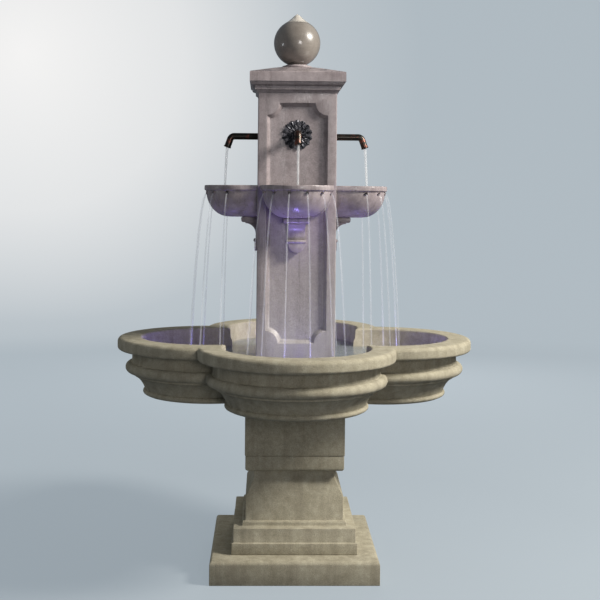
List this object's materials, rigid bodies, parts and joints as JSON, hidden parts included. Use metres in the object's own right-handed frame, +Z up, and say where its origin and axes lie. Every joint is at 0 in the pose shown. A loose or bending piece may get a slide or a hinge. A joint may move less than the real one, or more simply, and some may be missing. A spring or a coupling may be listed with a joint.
{
  "type": "fountain",
  "caption": "Tiered garden fountain: lobed basin on a stepped pedestal, a panelled square column with half-round bowls under spouts, a cap and a bubbling ball finial, pump inside.",
  "frame": {"origin": "on the ground, under the middle of the plinth", "axes": "+Z up; -Y is the front, which the rear intake grille and the overflow standpipe face away from"},
  "size_m": [1.332, 1.332, 2.0591],
  "materials": {
    "dry_stone": "matte, fine sandy grain",
    "wet_stone": "wet, dark, half gloss",
    "polished_stone": "smooth and wet, glossy",
    "dark_bronze": "oil-rubbed, dark",
    "brass": "plain machined",
    "stainless_steel": "brushed",
    "copper": "plain tube",
    "black_plastic": "moulded",
    "grey_plastic": "moulded",
    "rubber": "matte",
    "vinyl_hose": "smooth, slightly cloudy",
    "ceramic": "ground"
  },
  "bodies": {
    "fountain": {"plinth": "dry_stone", "pedestal": "dry_stone", "riser_block": "dry_stone", "basin": "dry_stone", "column": "wet_stone", "bowl_front": "wet_stone", "bowl_right": "wet_stone", "bowl_rear": "wet_stone", "bowl_left": "wet_stone", "corbel_front": "wet_stone", "corbel_right": "wet_stone", "corbel_rear": "wet_stone", "corbel_left": "wet_stone", "bubbler_nozzle": "dark_bronze", "spout_front": "dark_bronze", "spout_right": "dark_bronze", "spout_rear": "dark_bronze", "spout_left": "dark_bronze", "rosette_front": "dark_bronze", "rosette_right": "dark_bronze", "rosette_rear": "dark_bronze", "rosette_left": "dark_bronze", "valve_body": "brass", "valve_tail": "brass", "spout_nut_front": "brass", "spout_nut_right": "brass", "spout_nut_rear": "brass", "spout_nut_left": "brass", "hose_clamp_lower": "stainless_steel", "hose_clamp_upper": "stainless_steel", "bubbler_pipe": "copper", "pump_body": "black_plastic", "pump_cover": "black_plastic", "light_front": "black_plastic", "light_right": "black_plastic", "light_rear": "black_plastic", "light_left": "black_plastic", "manifold": "grey_plastic", "drain_fitting": "grey_plastic", "drain_nut": "grey_plastic", "cable_gland": "grey_plastic", "gland_nut": "grey_plastic", "pump_base": "rubber", "drain_gasket": "rubber", "cord_grommet": "rubber", "riser_hose": "vinyl_hose", "supply_tube_front": "vinyl_hose", "supply_tube_right": "vinyl_hose", "supply_tube_rear": "vinyl_hose", "supply_tube_left": "vinyl_hose", "pump_shaft": "ceramic"},
    "cap": {"cap": "wet_stone"},
    "finial": {"finial_seat": "wet_stone", "finial_ball": "polished_stone"},
    "impeller": {"pump_impeller": "grey_plastic"},
    "flow_dial": {"pump_flow_dial": "grey_plastic"},
    "valve": {"valve_ball": "stainless_steel", "valve_handle": "stainless_steel"},
    "overflow_standpipe": {"overflow_standpipe": "copper"},
    "intake_grille": {"intake_grille": "black_plastic"}
  },
  "joints": [
    {"name": "cap_lift", "type": "slide", "parent": "fountain", "child": "cap", "axis": [0, 0, 1], "range_m": [0, 0.25]},
    {"name": "finial_lift", "type": "slide", "parent": "cap", "child": "finial", "axis": [0, 0, 1], "range_m": [0, 0.15]},
    {"name": "impeller_spin", "type": "hinge", "parent": "fountain", "child": "impeller", "pos_m": [0, 0, 0.72], "axis": [0, 1, 0], "continuous": true},
    {"name": "flow_dial_turn", "type": "hinge", "parent": "fountain", "child": "flow_dial", "pos_m": [0, -0.0306, 0.72], "axis": [0, 1, 0], "range_deg": [0, 30]},
    {"name": "valve_turn", "type": "hinge", "parent": "fountain", "child": "valve", "pos_m": [0, 0, 1.376], "axis": [0, 1, 0], "range_deg": [0, 90]},
    {"name": "standpipe_pull", "type": "slide", "parent": "fountain", "child": "overflow_standpipe", "axis": [0, 0, 1], "range_m": [0, 0.12]},
    {"name": "grille_pull", "type": "slide", "parent": "fountain", "child": "intake_grille", "axis": [0, 1, 0], "range_m": [0, 0.1]}
  ]
}
